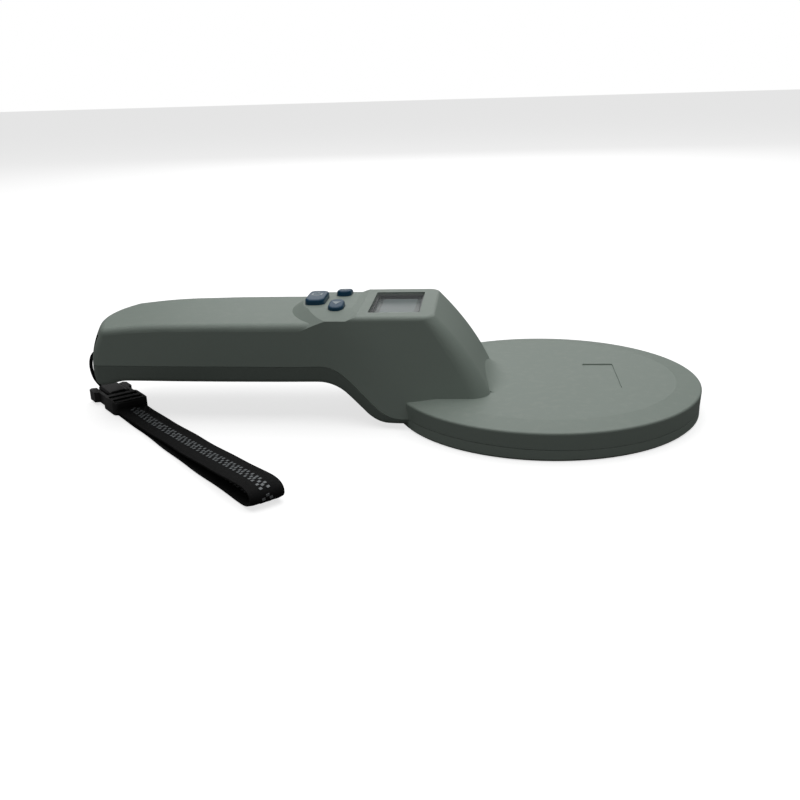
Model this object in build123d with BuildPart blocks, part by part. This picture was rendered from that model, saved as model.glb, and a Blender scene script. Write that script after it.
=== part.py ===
from build123d import *
import os
from math import cos, radians, sin, sqrt

os.makedirs("parts", exist_ok=True)

# ---------------------------------------------------------------------------
# Driving dimensions, mm.  Origin: centre of the antenna disc on its flat base.
# The handle runs towards -X, +Z is up through the disc.
# ---------------------------------------------------------------------------
disc_radius = 72.0
disc_height = 14.4
rim_height = 12.7
rim_flare = 0.5
ring_width = 11.0
disc_seam = 5.1
wall = 2.2
seam_gap = 0.16
fit = 0.15

panel_height = 51.0
panel_half = 29.4
neck_flare = 0.142
neck_rear = 13.5
nose_top_setback = 20.0
nose_mid_setback = 35.4
nose_foot_setback = 51.5
nose_mid_drop = 17.0

handle_reach = 145.3
handle_half = 29.4
butt_half = 26.0
handle_top = 48.8
handle_bottom = 18.5
handle_flare = 0.02
handle_seam_rise = 9.5
crown_radius = 380.0
foot_drop = 2.7
neck_base = 0.6
end_round = 58.0
lower_draft = 0.364
edge_round = 3.4

pad_crown_top = 53.3
pad_crown_radius = 107.0
pad_length = 27.8
pad_half = 30.0

window_length = 23.6
window_width = 41.6
window_corner = 0.8
window_centre_back = -2.7
label_length = 14.6
label_width = 37.6
label_depth = 0.5
label_offset = 27.1

button_travel = 0.8
button_proud = 1.7
button_round = 1.1
button_draft = 10.0
flange_thick = 1.0
flange_lip = 1.0
board_bottom = 40.6
board_thick = 1.6
board_half = 22.5

battery_length = 48.5
battery_width = 26.5
battery_depth = 17.5
battery_back = 39.5
cover_half = 14.2
cover_thick = 2.2
cover_gap = 0.3

screw_radius = 1.45
screw_head_radius = 2.7
screw_head_height = 1.9
boss_radius = 4.4
disc_screw_circle = 50.0
disc_screw_length = 8.5
handle_screw_length = 14.0

coil_radius = 62.0
coil_width = 7.0
coil_height = 4.6
former_wall = 1.0

cord_diameter = 1.7
webbing_width = 14.6
webbing_thick = 1.4
webbing_length = 136.5
webbing_height = 8.6

seam_front = -5.0
seam_run = 34.0


def behind(distance):
    """X of a point this far behind the disc's rear edge."""
    return -disc_radius - distance


def seam_height(x):
    """Height of the parting line between the two shells."""
    share = (behind(seam_front) - x) / seam_run
    share = min(1.0, max(0.0, share))
    rise = handle_bottom + handle_seam_rise - disc_seam
    return disc_seam + rise * share * share * (3 - 2 * share)


def flare_at(x):
    """Outward lean of the side walls: slight on the handle, more on the neck."""
    share = min(1.0, max(0.0, (behind(-2) - x) / 38.0))
    return neck_flare + (handle_flare - neck_flare) * share * share * (3 - 2 * share)


def half_at(x):
    """Half width at the height of the display panel."""
    butt_x = behind(handle_reach)
    full_x = behind(62)
    share = min(1.0, max(0.0, (full_x - x) / (full_x - butt_x)))
    return handle_half + (panel_half - handle_half) * (x > full_x) - (handle_half - butt_half) * share ** 1.7


tail_x = behind(handle_reach + 10)
stations = [tail_x] + [behind(b) for b in (124, 92, 62, 40, 29, 22, 15, 8, 1)]


def upper_half(x, z, inset):
    return half_at(x) + (panel_height - z) * flare_at(x) - inset


def lower_half(x, z, inset):
    seam = seam_height(x)
    return half_at(x) + (panel_height - seam) * flare_at(x) + (z - seam) * lower_draft - inset


def outline(z, half, front_x, corner, inset, extra=()):
    """Plan outline of the handle and nose at one height."""
    xs = [max(tail_x + inset, x) for x in stations] + list(extra) + [front_x - corner]
    left = [(x, half(x, z, inset)) for x in xs]
    end_half = left[-1][1]
    with BuildSketch(Plane.XY.offset(z)) as sketch:
        with BuildLine():
            far = Spline(*left, tangents=[(1, 0.04), (1, 0)])
            RadiusArc(far @ 1, (front_x, end_half - corner), corner)
            Line((front_x, end_half - corner), (front_x, corner - end_half))
            RadiusArc((front_x, corner - end_half), (front_x - corner, -end_half), corner)
            near = Spline(*[(x, -y) for x, y in reversed(left)], tangents=[(-1, 0), (-1, 0.04)])
            Line(near @ 1, far @ 0)
        make_face()
    return sketch.sketch


def upper_walls(inset):
    """The flaring side walls and the sloping nose, from base to panel."""
    levels = (
        (-1.0, nose_foot_setback, 9.0),
        (panel_height - nose_mid_drop, nose_mid_setback, 8.0),
        (panel_height + 1.0, nose_top_setback, 6.0),
    )
    with BuildPart() as walls:
        for z, setback, corner in levels:
            add(outline(z, upper_half, behind(-setback) - inset * 1.25, corner - 0.4 * inset, inset))
        loft()
    return walls.part


def lower_walls(inset):
    """Side walls that lean in below the parting line."""
    with BuildPart() as walls:
        for z in (-1.0, panel_height + 2.0):
            add(outline(z, lower_half, 0.0, 6.0, inset, [behind(b) for b in (-6, -16, -30, -48)]))
        loft(ruled=True)
    return walls.part


def side_profile(crown_drop, end_offset, foot_radius, corner_radius):
    """Corner points and radii of the handle and neck seen from the side."""
    top = handle_top - crown_drop
    bottom = handle_bottom + crown_drop
    return [
        ((behind(-32), neck_base + crown_drop), None),
        ((behind(6), neck_base + crown_drop), 16.0),
        ((behind(25), bottom), 20.0),
        ((behind(handle_reach - 18.9), bottom), 18.0),
        ((behind(handle_reach - 8.4), bottom - foot_drop), foot_radius),
        ((behind(handle_reach + end_offset), bottom - foot_drop), corner_radius),
        ((behind(handle_reach + end_offset), top - 4.4), corner_radius),
        ((behind(112), top - 0.4), 250.0),
        ((behind(80), top), 600.0),
        ((behind(-12), top), None),
    ]


# ---------------------------------------------------------------------------
# Outer and inner forms of the two-part housing
# ---------------------------------------------------------------------------
profile = side_profile(0.0, 6.0, 14.0, 5.0)
with BuildPart() as crown_cutter:
    with BuildLine(Plane.XZ) as skin_path:
        FilletPolyline(*[p for p, r in profile], radius=[r for p, r in profile if r])
    skin = skin_path.line
    start_plane = Plane(origin=skin @ 0, x_dir=(0, 1, 0), z_dir=skin % 0)
    reach = 42.0
    sag = crown_radius - sqrt(crown_radius ** 2 - reach ** 2)
    with BuildSketch(start_plane):
        with BuildLine():
            ThreePointArc((-reach, -sag), (0, 0), (reach, -sag))
            Line((reach, -sag), (reach, 11))
            Line((reach, 11), (-reach, 11))
            Line((-reach, 11), (-reach, -sag))
        make_face()
    sweep(path=skin)



def handle_block():
    """Side outline of the handle and neck, a little outside the finished skin."""
    with BuildSketch(Plane.XZ) as block:
        with BuildLine():
            Polyline(
                (behind(-32), 0),
                (behind(5.2), 0),
                (behind(27), handle_bottom - 3),
                (behind(handle_reach + 2), handle_bottom - foot_drop - 3),
                (behind(handle_reach + 2), handle_top + 1.5),
                (behind(-12), handle_top + 1.5),
                (behind(-12), 20),
                (behind(-32), 20),
                close=True,
            )
        make_face()
    return block.sketch


def side_edges(part, low, high, front):
    """Long edges down both sides of a form between two heights."""
    sides = part.edges().filter_by(lambda e: abs(e.center().Y) > 20 and e.length > 0.2)
    sides = sides.filter_by(lambda e: low < e.center().Z < high or e.center().X < behind(handle_reach - 18.4))
    return sides.filter_by(lambda e: e.center().X < front)


end_x = behind(handle_reach)
end_axis = Axis((end_x + end_round, 0, 0), (0, 0, 1))
with BuildPart() as end_cap:
    with BuildSketch(Plane.XZ):
        with BuildLine():
            face = Spline(
                (end_x + 3.4, handle_bottom - 9),
                (end_x + 0.9, handle_bottom - 1.5),
                (end_x, handle_bottom + 5.5),
                (end_x + 0.3, handle_bottom + 11.5),
                (end_x + 1.8, handle_bottom + 18),
                (end_x + 4.1, handle_bottom + 23.5),
                (end_x + 7.3, handle_bottom + 29.5),
                (end_x + 11.3, handle_bottom + 36.5),
            )
            Polyline(
                face @ 1, (end_x + end_round, handle_bottom + 36.5), (end_x + end_round, handle_bottom - 9), face @ 0
            )
        make_face()
    revolve(axis=end_axis)
    with Locations((end_x + end_round + 95, 0, 25)):
        Box(200, 140, 120)


def end_rims(part, low, high):
    """Edges round the grip's end between two heights."""
    rims = part.edges().filter_by(lambda e: e.center().X < behind(handle_reach - 13) and e.length > 0.2)
    rims = rims.filter_by(lambda e: abs(e.center().Y) > 1 or e.center().X < end_x + 6.2)
    return rims.filter_by(lambda e: low < e.center().Z < high)


with BuildPart() as upper_handle:
    add(upper_walls(0.0))
    extrude(handle_block(), amount=60, both=True, mode=Mode.INTERSECT)
    add(crown_cutter.part, mode=Mode.SUBTRACT)
    add(end_cap.part, mode=Mode.INTERSECT)
    top_rims = side_edges(upper_handle, handle_bottom + 3, panel_height, behind(-12) - 1)
    top_rims = top_rims.filter_by(lambda e: e.center().X > behind(handle_reach - 13) and e.center().Z > 30)
    top_rims += end_rims(upper_handle, handle_bottom + 3, panel_height)
    fillet(top_rims, radius=edge_round)

with BuildPart() as lower_handle:
    add(lower_walls(0.0))
    extrude(handle_block(), amount=60, both=True, mode=Mode.INTERSECT)
    add(crown_cutter.part, mode=Mode.SUBTRACT)
    add(end_cap.part, mode=Mode.INTERSECT)
    low_rims = side_edges(lower_handle, -1, handle_bottom + 10, behind(-32) - 1)
    low_rims = low_rims.filter_by(lambda e: e.center().X < behind(-12) - 1 or e.center().Z < 6)
    low_rims = low_rims.filter_by(lambda e: e.center().X > behind(handle_reach - 13))
    low_rims += end_rims(lower_handle, -1, handle_top - 8)
    fillet(low_rims, radius=edge_round)

with BuildPart() as housing:
    add(upper_walls(0.0))
    with BuildSketch(Plane.XZ):
        with BuildLine():
            Polyline(
                (behind(-2), 9),
                (behind(neck_rear + 6), 30),
                (behind(neck_rear + 6), panel_height - 2.4),
                (behind(neck_rear), panel_height),
                (0, panel_height),
                (0, 9),
                close=True,
            )
        make_face()
    extrude(amount=60, both=True, mode=Mode.INTERSECT)
    rim = housing.faces().sort_by(Axis.Z)[-1].edges()
    fillet(rim, radius=2.2)


def pad_outline(z, length, half):
    """Half ellipse that closes the rear of the button pad."""
    front = behind(neck_rear + 1)
    with BuildSketch(Plane.XY.offset(z)) as sketch:
        with BuildLine():
            Line((front, half), (front + 4, half))
            Line((front + 4, half), (front + 4, -half))
            Line((front + 4, -half), (front, -half))
            ThreePointArc((front, -half), (front - length, 0), (front, half))
        make_face()
    return sketch.sketch


with BuildPart() as pad_form:
    pad_base = handle_top - 6.9
    add(pad_outline(pad_base, pad_length + 16.2, pad_half + 8.5))
    add(pad_outline(pad_crown_top + 4, pad_length - 8.9, pad_half - 5.0))
    loft(ruled=True)
    with BuildSketch(Plane.XZ):
        with BuildLine():
            Polyline(
                (behind(80), 30),
                (behind(80), 62),
                (behind(neck_rear + 15), 62),
                (behind(neck_rear + 7.5), pad_crown_top + 0.4),
                (behind(neck_rear + 0.4), panel_height - 0.03),
                (behind(neck_rear - 2.6), panel_height - 1.2),
                (behind(neck_rear - 2.6), 30),
                close=True,
            )
        make_face()
    extrude(amount=60, both=True, mode=Mode.INTERSECT)
    with Locations((0, 0, pad_crown_top - pad_crown_radius)):
        Cylinder(pad_crown_radius, 400, rotation=(0, 90, 0), mode=Mode.INTERSECT)
    add(upper_walls(0.0), mode=Mode.INTERSECT)

nose_foot_x = behind(-45.7)
fairing_reach = 11.0
with BuildPart() as fairing:
    slope = radians(63)
    for share in (-0.9, -0.6, -0.3, 0, 0.3, 0.6, 0.9):
        t = 1.2 + fairing_reach * (1 - share * share)
        y = share * (panel_half - 1.5)
        tip = (nose_foot_x + t, disc_height)
        top = (nose_foot_x - t * cos(slope), disc_height + t * sin(slope))
        mid = ((tip[0] + top[0]) / 2, (tip[1] + top[1]) / 2)
        dip = 0.26 * t
        bend = (mid[0] - dip * sin(slope / 2 + radians(0)), mid[1] - dip * cos(slope / 2))
        with BuildSketch(Plane(origin=(0, y, 0), x_dir=(1, 0, 0), z_dir=(0, -1, 0))):
            with BuildLine():
                ThreePointArc(tip, bend, top)
                Line(top, (top[0] - 2.5, top[1] - 1))
                Line((top[0] - 2.5, top[1] - 1), (nose_foot_x - 3, disc_height - 1.2))
                Line((nose_foot_x - 3, disc_height - 1.2), (tip[0] - 0.9, disc_height - 0.8))
                Line((tip[0] - 0.9, disc_height - 0.8), tip)
            make_face()
    loft()

with BuildPart() as disc_form:
    with BuildSketch(Plane.XZ) as disc_section:
        with BuildLine():
            Polyline(
                (0, 0),
                (disc_radius - 1.0, 0),
                (disc_radius, 1.0),
                (disc_radius, disc_seam),
                (disc_radius + rim_flare, rim_height),
                (disc_radius - ring_width, disc_height),
                (0, disc_height),
                close=True,
            )
        make_face()
    revolve(axis=Axis.Z)
    fillet(disc_form.edges().filter_by(GeomType.CIRCLE).filter_by(lambda e: abs(e.center().Z - rim_height) < 0.1), radius=0.9)

with BuildPart() as disc_hollow:
    with BuildSketch(Plane.XZ):
        with BuildLine():
            Polyline(
                (0, wall),
                (disc_radius - wall, wall),
                (disc_radius - wall, rim_height - wall - 0.1),
                (disc_radius - ring_width, disc_height - wall),
                (0, disc_height - wall),
                close=True,
            )
        make_face()
    revolve(axis=Axis.Z)


def hollow_form(walls):
    """Space inside the handle, neck and nose."""
    points = side_profile(1.2, -4.3, 6.0, 3.0)
    with BuildPart() as space:
        with BuildSketch(Plane.XZ):
            with BuildLine():
                path = FilletPolyline(*[p for p, r in points], radius=[r for p, r in points if r])
                Line(path @ 1, path @ 0)
            make_face()
            offset(amount=-wall)
        extrude(amount=60, both=True)
        with BuildSketch(Plane.XZ):
            with BuildLine():
                Polyline(
                    (behind(-2), wall + 0.6),
                    (behind(neck_rear + 2), 25),
                    (behind(neck_rear + 2), panel_height - 2 * wall),
                    (behind(neck_rear - 0.5), panel_height - wall),
                    (0, panel_height - wall),
                    (0, wall + 0.6),
                    close=True,
                )
            make_face()
        extrude(amount=60, both=True)
        add(walls, mode=Mode.INTERSECT)
    return space.part


def seam_region(above, gap):
    """Everything above or below the parting surface, set back by half the seam gap."""
    shift = gap / 2 if above else -gap / 2
    xs = [behind(b) for b in (200, 100, 60, 36)]
    xs += [behind(seam_front) - seam_run * k / 8 for k in range(8, -1, -1)]
    xs += [behind(-12), behind(-disc_radius), disc_radius + 30]
    line = [(x, seam_height(x) + shift) for x in xs]
    edge_z = 90 if above else -30
    with BuildPart() as region:
        with BuildSketch(Plane.XZ):
            with BuildLine():
                top = Spline(*line[:4], *line[4:])
                Polyline(line[-1], (line[-1][0], edge_z), (line[0][0], edge_z), line[0])
            make_face()
        extrude(amount=120, both=True)
    return region.part


upper_space = hollow_form(upper_walls(wall))
lower_space = hollow_form(lower_walls(wall))

with BuildPart() as upper_outer:
    add(upper_handle.part)
    add(housing.part)
    add(pad_form.part)
    add(disc_form.part)
    add(fairing.part)
    add(seam_region(True, seam_gap), mode=Mode.INTERSECT)

with BuildPart() as lower_outer:
    add(lower_handle.part)
    add(disc_form.part)
    add(seam_region(False, seam_gap), mode=Mode.INTERSECT)

# ---------------------------------------------------------------------------
# Places that several pieces share
# ---------------------------------------------------------------------------
pad_front = behind(neck_rear + 5.7)
pad_tip = behind(neck_rear + 1) - pad_length
pad_axis_z = pad_crown_top - pad_crown_radius
window_x = behind(window_centre_back)
board_top = board_bottom + board_thick
board_rear = behind(44)
board_front = behind(-20.5)
board_posts = [(behind(15), 19.0), (behind(15), -19.0), (behind(-18.8), 18.0), (behind(-18.8), -18.0)]
board_post_radius = 2.4
board_screw_radius = 1.1
disc_screw_places = [
    (disc_screw_circle * cos(radians(a)), disc_screw_circle * sin(radians(a))) for a in (50, 130, 230, 310)
]
handle_screw_places = [(behind(x), y) for x in (131, 53) for y in (16.5 if x > 90 else 21.5, -16.5 if x > 90 else -21.5)]
disc_seat = 3.0
handle_seat = handle_bottom + 4.5
battery_front = behind(battery_back)
battery_rear = battery_front - battery_length
cover_front = battery_front + 2.5
cover_rear = battery_rear - 6.5
battery_base = handle_bottom + cover_thick + cover_gap
pin_x = behind(handle_reach - 6.6)
pin_z = handle_bottom + handle_seam_rise
pin_radius = 1.2
pin_half = 6.5
slot_half = 3.2

# each button: centre behind the disc, Y, length along X, width across Y
buttons = {
    "read_button": (35.6, 0.0, 9.2, 20.0, 3.4),
    "up_button": (24.3, 13.7, 7.2, 11.8, 3.3),
    "down_button": (24.3, -13.7, 7.2, 11.8, 3.3),
}


def button_outline(length, width, corner, grow):
    """Rounded button plan, centred on the sketch origin."""
    RectangleRounded(length + 2 * grow, width + 2 * grow, corner + grow)


def crowned(radius):
    """Cylinder along X whose top is concentric with the pad's crown."""
    return Pos(behind(30), 0, pad_axis_z) * Rot(0, 90, 0) * Cylinder(radius, 90)


# ---------------------------------------------------------------------------
# Housing shells
# ---------------------------------------------------------------------------
ceiling = crowned(pad_crown_radius - wall)
with BuildPart() as pad_pocket:
    with BuildSketch(Plane.XY.offset(handle_top - 6)):
        with BuildLine():
            Line((pad_front, pad_half - 3.5), (pad_front, 3.5 - pad_half))
            ThreePointArc((pad_front, 3.5 - pad_half), (pad_tip + 0.9, 0), (pad_front, pad_half - 3.5))
        make_face()
    extrude(amount=20)
    add(ceiling, mode=Mode.INTERSECT)

handle_seam = handle_bottom + handle_seam_rise
upper_posts = [(x, y, board_top, board_post_radius) for x, y in board_posts]
upper_posts += [(x, y, disc_seam + seam_gap / 2, boss_radius - 0.4) for x, y in disc_screw_places]
upper_posts += [(x, y, handle_seam + seam_gap / 2, boss_radius - 0.4) for x, y in handle_screw_places]
upper_inner = [upper_outer.part & Pos(x, y, low + 25) * Cylinder(r, 50) for x, y, low, r in upper_posts]
upper_inner += [
    upper_outer.part & Pos(pin_x - 3, side * 5.5, handle_seam + 15) * Box(12, 4.2, 30) for side in (-1, 1)
]
with BuildPart() as upper_shell:
    add(upper_outer.part)
    add(upper_space, mode=Mode.SUBTRACT)
    add(disc_hollow.part, mode=Mode.SUBTRACT)
    add(pad_pocket.part, mode=Mode.SUBTRACT)
    with BuildSketch(Plane.XY.offset(panel_height - 4)):
        with Locations((window_x, 0)):
            RectangleRounded(window_length, window_width, window_corner)
    extrude(amount=6, mode=Mode.SUBTRACT)
    for back, y, length, width, corner in buttons.values():
        with BuildSketch(Plane((behind(back), y, handle_top - 2))):
            button_outline(length, width, corner, fit)
        extrude(amount=12, mode=Mode.SUBTRACT)
    with BuildSketch(Plane.XY.offset(disc_height)):
        with Locations((label_offset, 0)):
            RectangleRounded(label_length, label_width, 0.8)
    extrude(amount=-label_depth, mode=Mode.SUBTRACT)
    add(upper_inner)
    with Locations([(x, y, board_top + 2.5) for x, y in board_posts]):
        Cylinder(board_screw_radius + 0.05, 5.2, mode=Mode.SUBTRACT)
    with Locations([(x, y, disc_seat + disc_screw_length / 2) for x, y in disc_screw_places]):
        Cylinder(screw_radius + 0.05, disc_screw_length + 0.4, mode=Mode.SUBTRACT)
    with Locations([(x, y, handle_seat + handle_screw_length / 2) for x, y in handle_screw_places]):
        Cylinder(screw_radius + 0.05, handle_screw_length + 0.4, mode=Mode.SUBTRACT)
    with Locations((pin_x, 0, pin_z)):
        Cylinder(pin_radius + 0.05, 2 * pin_half + 0.2, rotation=(90, 0, 0), mode=Mode.SUBTRACT)
    with Locations((pin_x - 8.6, 0, pin_z)):
        Box(20, 2 * slot_half, 6.8, mode=Mode.SUBTRACT)
upper_shell.part.label = "upper_shell"
export_step(upper_shell.part, "parts/upper_shell.step")

bay_length = battery_length + 8
bay_x = battery_front - battery_length / 2 + 1
bay_top = handle_bottom + 15
lower_inner = [
    lower_outer.part & Pos(x, y, 15) * Cylinder(boss_radius, 40) for x, y in disc_screw_places + handle_screw_places
]
lower_inner += [
    lower_outer.part & Pos(bay_x, side * (cover_half + 0.7), bay_top - 20) * Box(bay_length, 1.4, 40)
    for side in (-1, 1)
]
lower_inner += [
    lower_outer.part & Pos(pin_x - 3, side * 5.5, handle_seam - 15) * Box(12, 4.2, 30) for side in (-1, 1)
]
for x, low in ((battery_rear - 1.3, battery_base + 6), (battery_front + 4.6, battery_base + 2)):
    lower_inner.append(Pos(x, 0, (low + bay_top) / 2) * Box(1.6, 2 * cover_half + 2.0, bay_top - low))
with BuildPart() as lower_shell:
    add(lower_outer.part)
    add(lower_space, mode=Mode.SUBTRACT)
    add(disc_hollow.part, mode=Mode.SUBTRACT)
    add(lower_inner)
    with Locations(((cover_front + cover_rear) / 2, 0, handle_bottom)):
        Box(cover_front - cover_rear, 2 * cover_half, 8, mode=Mode.SUBTRACT)
    with Locations([(x, y, disc_seat - 5) for x, y in disc_screw_places]):
        Cylinder(screw_head_radius + 0.2, 10, mode=Mode.SUBTRACT)
    with Locations([(x, y, disc_seat) for x, y in disc_screw_places]):
        Cylinder(screw_radius + 0.15, 12, mode=Mode.SUBTRACT)
    with Locations([(x, y, handle_seat - 5) for x, y in handle_screw_places]):
        Cylinder(screw_head_radius + 0.2, 10, mode=Mode.SUBTRACT)
    with Locations([(x, y, handle_seat) for x, y in handle_screw_places]):
        Cylinder(screw_radius + 0.15, 20, mode=Mode.SUBTRACT)
    with Locations((pin_x, 0, pin_z)):
        Cylinder(pin_radius + 0.05, 2 * pin_half + 0.2, rotation=(90, 0, 0), mode=Mode.SUBTRACT)
    with Locations((pin_x - 8.6, 0, pin_z)):
        Box(20, 2 * slot_half, 6.8, mode=Mode.SUBTRACT)
lower_shell.part.label = "lower_shell"
export_step(lower_shell.part, "parts/lower_shell.step")

door_length = cover_front - cover_rear - 2 * cover_gap
door_space = Pos((cover_front + cover_rear) / 2, 0, handle_bottom + cover_thick - 5)
door_skin = lower_handle.part & door_space * Box(door_length, 2 * (cover_half - cover_gap), 10)
with BuildPart() as battery_cover:
    add(door_skin)
    riser_top = handle_bottom + 1.2 + wall + cover_gap + 1.4
    for y in (-8.0, 8.0):
        with Locations((cover_rear + cover_gap + 0.8, y, (riser_top + handle_bottom + 1) / 2)):
            Box(1.6, 5, riser_top - handle_bottom - 1)
        with Locations((cover_rear - 0.8, y, riser_top - 0.7)):
            Box(4.4, 5, 1.4)
    with Locations((cover_front - cover_gap - 1.2, 0, handle_bottom + cover_thick + 0.9)):
        Box(1.6, 9, 2.6)
battery_cover.part.label = "battery_cover"
export_step(battery_cover.part, "parts/battery_cover.step")

# ---------------------------------------------------------------------------
# Power
# ---------------------------------------------------------------------------
with BuildPart() as battery_block:
    with Locations(((battery_front + battery_rear) / 2, 0, battery_base + battery_depth / 2)):
        Box(battery_length, battery_width, battery_depth)
    fillet(battery_block.edges().filter_by(Axis.X), radius=2.0)
battery_block.part.label = "battery_block"
export_step(battery_block.part, "parts/battery_block.step")

with BuildPart() as battery_snap:
    with Locations((battery_front + 1.8, 0, battery_base + battery_depth / 2)):
        Box(3.0, battery_width - 1, battery_depth - 4)
    fillet(battery_snap.edges().filter_by(Axis.X), radius=2.0)
battery_snap.part.label = "battery_snap"
export_step(battery_snap.part, "parts/battery_snap.step")

with BuildPart() as battery_lead:
    lead_x = battery_front + 3.3
    lead_z = battery_base + battery_depth - 3.5
    with BuildLine(Plane.XZ.offset(-6)) as lead_path:
        FilletPolyline((lead_x, lead_z), (lead_x + 9, lead_z), (lead_x + 9, board_bottom), radius=4)
    with BuildSketch(Plane(origin=lead_path.line @ 0, z_dir=lead_path.line % 0)):
        Circle(0.9)
    sweep(path=lead_path.line)
battery_lead.part.label = "battery_lead"
export_step(battery_lead.part, "parts/battery_lead.step")

# ---------------------------------------------------------------------------
# Display stack, from the window down to the board
# ---------------------------------------------------------------------------
window_top = panel_height - 0.3
window_thick = 1.4
with BuildPart() as display_window:
    with BuildSketch(Plane.XY.offset(window_top - window_thick)):
        with Locations((window_x, 0)):
            RectangleRounded(window_length - 2 * fit, window_width - 2 * fit, window_corner)
    extrude(amount=window_thick)
display_window.part.label = "display_window"
export_step(display_window.part, "parts/display_window.step")

bezel_top = window_top - window_thick
bezel_flange = panel_height - wall - 0.1
bezel_thick = 0.9
with BuildPart() as display_bezel:
    with BuildSketch(Plane.XY.offset(bezel_flange - bezel_thick)):
        with Locations((window_x, 0)):
            Rectangle(window_length + 2.0, window_width + 2.0)
    extrude(amount=bezel_thick)
    with BuildSketch(Plane.XY.offset(bezel_flange)):
        with Locations((window_x, 0)):
            RectangleRounded(window_length - 2 * fit, window_width - 2 * fit, window_corner)
    extrude(amount=bezel_top - bezel_flange)
    with BuildSketch(Plane.XY.offset(bezel_flange - 3)):
        with Locations((window_x, 0)):
            Rectangle(window_length - 2.2, window_width - 2.2)
    extrude(amount=6, mode=Mode.SUBTRACT)
display_bezel.part.label = "display_bezel"
export_step(display_bezel.part, "parts/display_bezel.step")

lcd_top = bezel_flange - bezel_thick
lcd_thick = 2.6
with BuildPart() as lcd_panel:
    with Locations((window_x, 0, lcd_top - lcd_thick / 2)):
        Box(window_length - 1.6, window_width - 1.6, lcd_thick)
lcd_panel.part.label = "lcd_panel"
export_step(lcd_panel.part, "parts/lcd_panel.step")

with BuildPart() as lcd_carrier:
    carrier_height = lcd_top - lcd_thick - board_top
    with Locations((window_x, 0, board_top + carrier_height / 2)):
        Box(window_length - 1.6, window_width - 1.6, carrier_height)
        Box(window_length - 9, window_width - 11, carrier_height + 1, mode=Mode.SUBTRACT)
lcd_carrier.part.label = "lcd_carrier"
export_step(lcd_carrier.part, "parts/lcd_carrier.step")

# ---------------------------------------------------------------------------
# Electronics
# ---------------------------------------------------------------------------
with BuildPart() as main_board:
    with Locations(((board_rear + board_front) / 2, 0, board_bottom + board_thick / 2)):
        Box(board_front - board_rear, 2 * board_half, board_thick)
    with Locations([(x, y, board_bottom) for x, y in board_posts]):
        Cylinder(board_screw_radius + 0.15, 6, mode=Mode.SUBTRACT)
main_board.part.label = "main_board"
export_step(main_board.part, "parts/main_board.step")

with BuildPart() as board_chips:
    for back, y, length, width, height in ((6, -6, 12, 12, 2.0), (18, 1, 9, 6, 1.8), (-4, 9, 8, 8, 2.4)):
        with Locations((behind(back), y, board_bottom - height / 2)):
            Box(length, width, height)
board_chips.part.label = "board_chips"
export_step(board_chips.part, "parts/board_chips.step")

with BuildPart() as buzzer:
    with Locations((behind(24), 13, board_bottom - 3)):
        Cylinder(6, 6)
    with Locations((behind(24), 13, board_bottom - 6)):
        Cylinder(1.2, 3, mode=Mode.SUBTRACT)
buzzer.part.label = "buzzer"
export_step(buzzer.part, "parts/buzzer.step")

with BuildPart() as board_screws:
    with Locations([(x, y, board_bottom - 0.9) for x, y in board_posts]):
        Cylinder(2.1, 1.8)
    with Locations([(x, y, board_bottom + 2.5) for x, y in board_posts]):
        Cylinder(board_screw_radius, 5)
board_screws.part.label = "board_screws"
export_step(board_screws.part, "parts/board_screws.step")

with BuildPart() as coil_former:
    base = wall + 0.1
    inner = coil_radius - coil_width / 2 - 0.2 - former_wall
    outer = coil_radius + coil_width / 2 + 0.2 + former_wall
    with BuildSketch(Plane.XZ):
        with BuildLine():
            Polyline(
                (inner, base),
                (outer, base),
                (outer, base + 6),
                (outer - former_wall, base + 6),
                (outer - former_wall, base + former_wall),
                (inner + former_wall, base + former_wall),
                (inner + former_wall, base + 6),
                (inner, base + 6),
                close=True,
            )
        make_face()
    revolve(axis=Axis.Z)
coil_former.part.label = "coil_former"
export_step(coil_former.part, "parts/coil_former.step")

coil_base = wall + 0.1 + former_wall + 0.1
with BuildPart() as antenna_coil:
    with BuildSketch(Plane.XZ):
        with Locations((coil_radius, coil_base + coil_height / 2)):
            RectangleRounded(coil_width, coil_height, 1.0)
    revolve(axis=Axis.Z)
antenna_coil.part.label = "antenna_coil"
export_step(antenna_coil.part, "parts/antenna_coil.step")

with BuildPart() as coil_lead:
    coil_top = coil_base + coil_height
    with BuildSketch(Plane.XY.offset(coil_top)):
        with Locations((-coil_radius, 4), (-coil_radius, -4)):
            Circle(0.7)
    extrude(amount=board_bottom - coil_top)
coil_lead.part.label = "coil_lead"
export_step(coil_lead.part, "parts/coil_lead.step")

# ---------------------------------------------------------------------------
# Keypad
# ---------------------------------------------------------------------------
ceiling_radius = pad_crown_radius - wall - 0.12
flange_radius = ceiling_radius - flange_thick
mat_top = board_top + 1.2
with BuildPart() as keypad_mat:
    with Locations((behind(31), 0, board_top + 0.6)):
        Box(22, 41, 1.2)
    for name, (back, y, length, width, corner) in buttons.items():
        lowest = pad_axis_z + sqrt(flange_radius ** 2 - (abs(y) + 3) ** 2)
        top = lowest - button_travel - 0.1
        with Locations((behind(back), y, (top + mat_top) / 2)):
            Cone(3.9, 2.6, top - mat_top)
keypad_mat.part.label = "keypad_mat"
export_step(keypad_mat.part, "parts/keypad_mat.step")

button_crown = crowned(pad_crown_radius + button_proud)
flange_ceiling = crowned(ceiling_radius)
flange_floor = crowned(flange_radius)
with BuildPart() as flange_space:
    with BuildSketch(Plane.XY.offset(handle_top - 6)):
        with BuildLine():
            Line((pad_front, pad_half - 3.8), (pad_front, 3.8 - pad_half))
            ThreePointArc((pad_front, 3.8 - pad_half), (pad_tip + 1.2, 0), (pad_front, pad_half - 3.8))
        make_face()
    extrude(amount=20)
    add(flange_ceiling, mode=Mode.INTERSECT)
    add(flange_floor, mode=Mode.SUBTRACT)

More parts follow.
